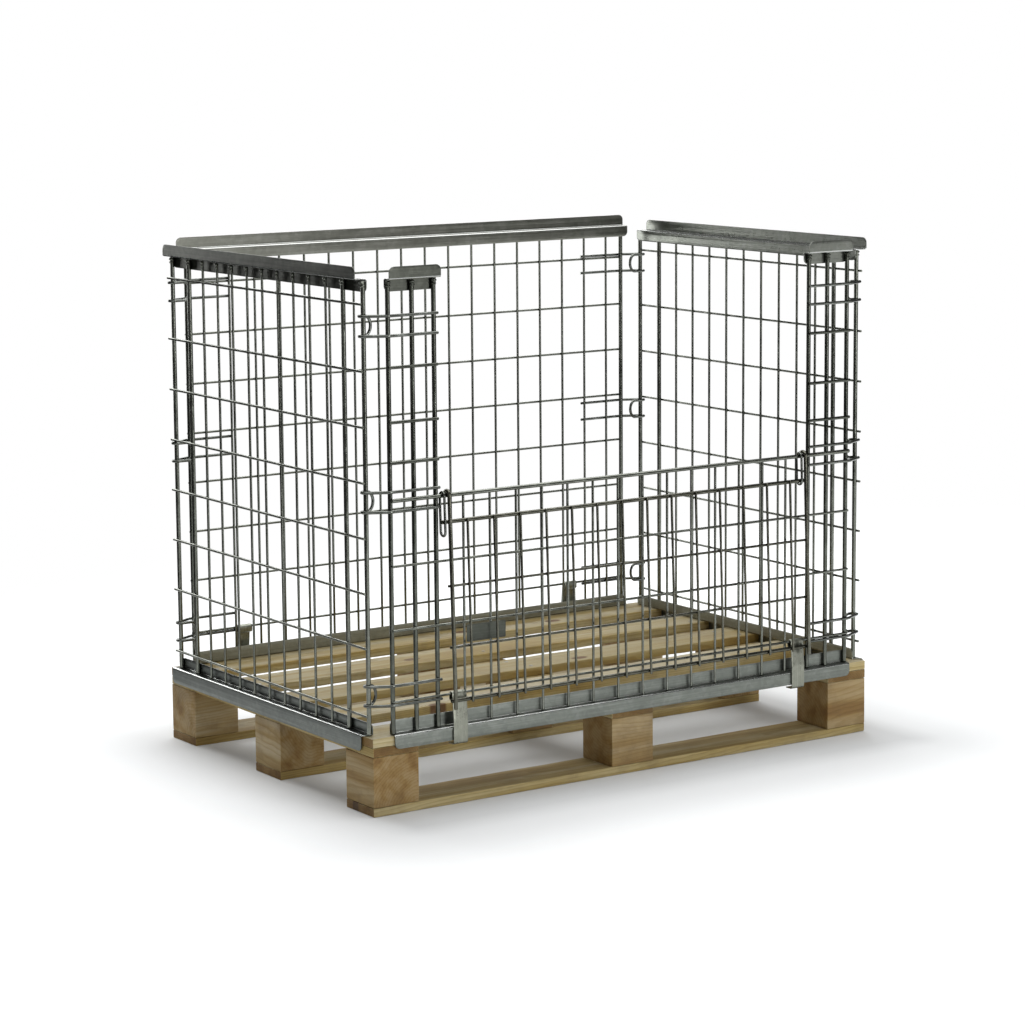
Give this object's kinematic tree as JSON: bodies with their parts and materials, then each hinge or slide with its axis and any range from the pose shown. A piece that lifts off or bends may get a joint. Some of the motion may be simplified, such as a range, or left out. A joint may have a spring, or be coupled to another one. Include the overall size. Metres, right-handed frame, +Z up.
{
  "type": "cage pallet",
  "caption": "Four-way wooden pallet with a collapsible welded wire cage around it, an open front with a drop gate hung on a mid rail, and swinging clips that lock the cage to the deck.",
  "frame": {"origin": "middle of the pallet's underside, on the floor", "axes": "+X to the right along the pallet's long side, +Y to the rear, +Z up; the gate is on the front, at -Y"},
  "size_m": [1.209, 0.8352, 1.04],
  "materials": {
    "pallet_boards": "sawn, weathered pine",
    "pallet_blocks": "sawn, darker pine",
    "cage_wire": "dull zinc-coated wire",
    "cage_rails": "dull zinc-coated folded sheet",
    "pallet_clips": "dull zinc-coated strip",
    "label_plate": "bare pale sheet"
  },
  "bodies": {
    "pallet_and_cage": {"bottom_board_front": "pallet_boards", "bottom_board_middle": "pallet_boards", "bottom_board_rear": "pallet_boards", "block_front_left": "pallet_blocks", "block_front_middle": "pallet_blocks", "block_front_right": "pallet_blocks", "block_middle_left": "pallet_blocks", "block_middle_middle": "pallet_blocks", "block_middle_right": "pallet_blocks", "block_rear_left": "pallet_blocks", "block_rear_middle": "pallet_blocks", "block_rear_right": "pallet_blocks", "cross_board_left": "pallet_boards", "cross_board_middle": "pallet_boards", "cross_board_right": "pallet_boards", "deck_board_1": "pallet_boards", "deck_board_2": "pallet_boards", "deck_board_3": "pallet_boards", "deck_board_4": "pallet_boards", "deck_board_5": "pallet_boards", "bottom_rail_front": "cage_rails", "bottom_rail_rear": "cage_rails", "bottom_rail_left": "cage_rails", "bottom_rail_right": "cage_rails", "top_rail_rear": "cage_rails", "top_rail_left": "cage_rails", "top_rail_right": "cage_rails", "top_rail_front_left": "cage_rails", "top_rail_front_right": "cage_rails", "side_mesh_left": "cage_wire", "side_mesh_right": "cage_wire", "rear_mesh": "cage_wire", "front_mesh": "cage_wire", "front_post_left": "cage_wire", "front_post_right": "cage_wire", "corner_hinge_front_left_low": "cage_wire", "corner_hinge_front_left_middle": "cage_wire", "corner_hinge_front_left_high": "cage_wire", "corner_hinge_front_right_low": "cage_wire", "corner_hinge_front_right_middle": "cage_wire", "corner_hinge_front_right_high": "cage_wire", "corner_hinge_rear_left_low": "cage_wire", "corner_hinge_rear_left_middle": "cage_wire", "corner_hinge_rear_left_high": "cage_wire", "corner_hinge_rear_right_low": "cage_wire", "corner_hinge_rear_right_middle": "cage_wire", "corner_hinge_rear_right_high": "cage_wire", "label_plate": "label_plate"},
    "drop_gate": {"gate": "cage_wire", "gate_link_left": "cage_wire", "gate_link_right": "cage_wire"},
    "clip_front_left": {"pallet_clip_front_left": "pallet_clips"},
    "clip_front_right": {"pallet_clip_front_right": "pallet_clips"},
    "clip_rear_left": {"pallet_clip_rear_left": "pallet_clips"},
    "clip_rear_right": {"pallet_clip_rear_right": "pallet_clips"}
  },
  "joints": [
    {"name": "gate_hinge", "type": "hinge", "parent": "pallet_and_cage", "child": "drop_gate", "pos_m": [0, -0.3993, 0.595], "axis": [-1, 0, 0], "range_deg": [0, 177.8]},
    {"name": "clip_front_left_hinge", "type": "hinge", "parent": "pallet_and_cage", "child": "clip_front_left", "pos_m": [-0.4095, -0.3978, 0.214], "axis": [-1, 0, 0], "range_deg": [0, 22]},
    {"name": "clip_front_right_hinge", "type": "hinge", "parent": "pallet_and_cage", "child": "clip_front_right", "pos_m": [0.4141, -0.3978, 0.214], "axis": [-1, 0, 0], "range_deg": [0, 22]},
    {"name": "clip_rear_left_hinge", "type": "hinge", "parent": "pallet_and_cage", "child": "clip_rear_left", "pos_m": [-0.428, 0.3971, 0.216], "axis": [1, 0, 0], "range_deg": [0, 90]},
    {"name": "clip_rear_right_hinge", "type": "hinge", "parent": "pallet_and_cage", "child": "clip_rear_right", "pos_m": [0.4095, 0.3971, 0.216], "axis": [1, 0, 0], "range_deg": [0, 90]}
  ]
}
